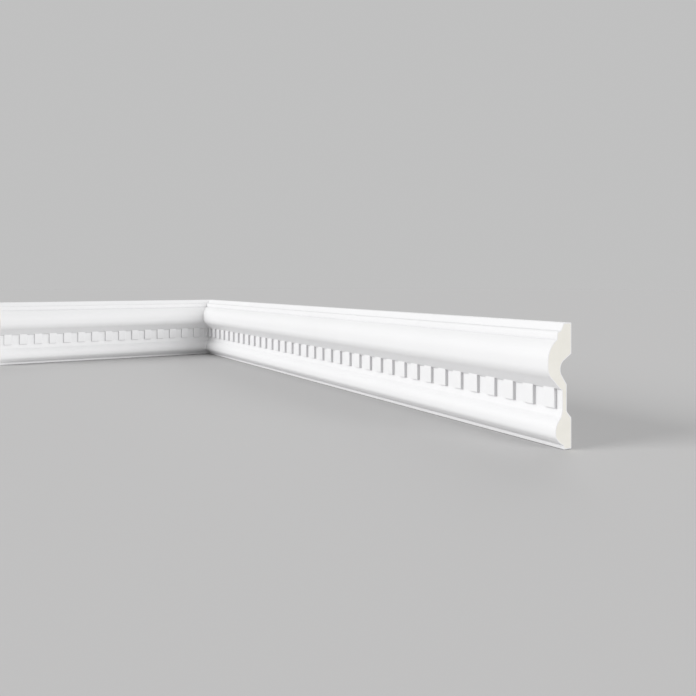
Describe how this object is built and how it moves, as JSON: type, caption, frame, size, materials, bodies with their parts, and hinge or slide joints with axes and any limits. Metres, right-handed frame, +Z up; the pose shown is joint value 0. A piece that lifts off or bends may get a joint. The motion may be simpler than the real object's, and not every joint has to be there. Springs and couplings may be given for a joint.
{
  "type": "wall moulding",
  "caption": "White dado rail with a torus, a bead and a band of dentils, mitred round an inner corner, with a hollow back.",
  "frame": {"origin": "the inner corner of the two walls, at the height of the rail's lower edge", "axes": "+Z up; +X into the side wall, whose length runs towards -Y; +Y into the back wall, whose length runs towards -X"},
  "size_m": [0.321, 0.75, 0.09],
  "materials": {
    "primed_foam": "white primer, matt to satin, over rigid moulded foam, with a smooth moulded skin"
  },
  "bodies": {
    "root": {"side_wall_length": "primed_foam", "back_wall_length": "primed_foam"}
  },
  "joints": []
}
